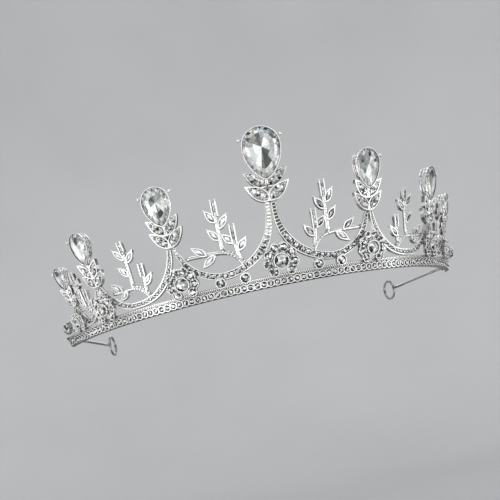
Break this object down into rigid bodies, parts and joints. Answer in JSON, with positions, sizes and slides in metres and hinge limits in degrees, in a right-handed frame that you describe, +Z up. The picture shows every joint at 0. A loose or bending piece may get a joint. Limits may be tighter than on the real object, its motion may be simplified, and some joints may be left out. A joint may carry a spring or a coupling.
{
  "type": "bridal tiara",
  "caption": "Curved bridal tiara with pear-shaped crystal peaks on pave scallops, flower clusters, leafy twig sprays, a crystal band and wire pin loops at the ends.",
  "frame": {"origin": "on the band's flat underside, midway across its thickness, at the front centre", "axes": "+Z up from the band to the peaks, -Y towards the viewer at the front, +X to the viewer's right along the tiara's width"},
  "size_m": [0.1554, 0.1108, 0.0561],
  "materials": {
    "plated_alloy": "bright silver plated cast alloy set with tiny crystals",
    "wire": "bright silver plated round wire",
    "crystal": "clear faceted crystal with a foil back"
  },
  "bodies": {
    "root": {"band_stone_row": "crystal", "base_band": "plated_alloy", "bridge_cup_left_1": "plated_alloy", "bridge_cup_left_2": "plated_alloy", "bridge_cup_right_1": "plated_alloy", "bridge_cup_right_2": "plated_alloy", "end_cup_left": "plated_alloy", "end_cup_right": "plated_alloy", "flower_crystal_centre": "crystal", "flower_crystal_inner_left": "crystal", "flower_crystal_inner_right": "crystal", "flower_crystal_middle_left": "crystal", "flower_crystal_middle_right": "crystal", "flower_crystal_outer_left": "crystal", "flower_crystal_outer_right": "crystal", "flower_setting_centre": "plated_alloy", "flower_setting_inner_left": "plated_alloy", "flower_setting_inner_right": "plated_alloy", "flower_setting_middle_left": "plated_alloy", "flower_setting_middle_right": "plated_alloy", "flower_setting_outer_left": "plated_alloy", "flower_setting_outer_right": "plated_alloy", "leaf_cluster_centre": "plated_alloy", "leaf_cluster_inner_left": "plated_alloy", "leaf_cluster_inner_right": "plated_alloy", "leaf_cluster_middle_left": "plated_alloy", "leaf_cluster_middle_right": "plated_alloy", "leaf_cluster_outer_left": "plated_alloy", "leaf_cluster_outer_right": "plated_alloy", "pear_crystal_centre": "crystal", "pear_crystal_inner_left": "crystal", "pear_crystal_inner_right": "crystal", "pear_crystal_middle_left": "crystal", "pear_crystal_middle_right": "crystal", "pear_crystal_outer_left": "crystal", "pear_crystal_outer_right": "crystal", "pear_setting_centre": "plated_alloy", "pear_setting_inner_left": "plated_alloy", "pear_setting_inner_right": "plated_alloy", "pear_setting_middle_left": "plated_alloy", "pear_setting_middle_right": "plated_alloy", "pear_setting_outer_left": "plated_alloy", "pear_setting_outer_right": "plated_alloy", "pin_loop_left": "wire", "pin_loop_right": "wire", "rail_end_left": "plated_alloy", "rail_end_right": "plated_alloy", "rail_inner_left": "plated_alloy", "rail_inner_right": "plated_alloy", "rail_middle_left": "plated_alloy", "rail_middle_right": "plated_alloy", "rail_outer_left": "plated_alloy", "rail_outer_right": "plated_alloy", "spray_inner_left": "plated_alloy", "spray_inner_right": "plated_alloy", "spray_middle_left": "plated_alloy", "spray_middle_right": "plated_alloy", "spray_outer_left": "plated_alloy", "spray_outer_right": "plated_alloy"}
  },
  "joints": []
}
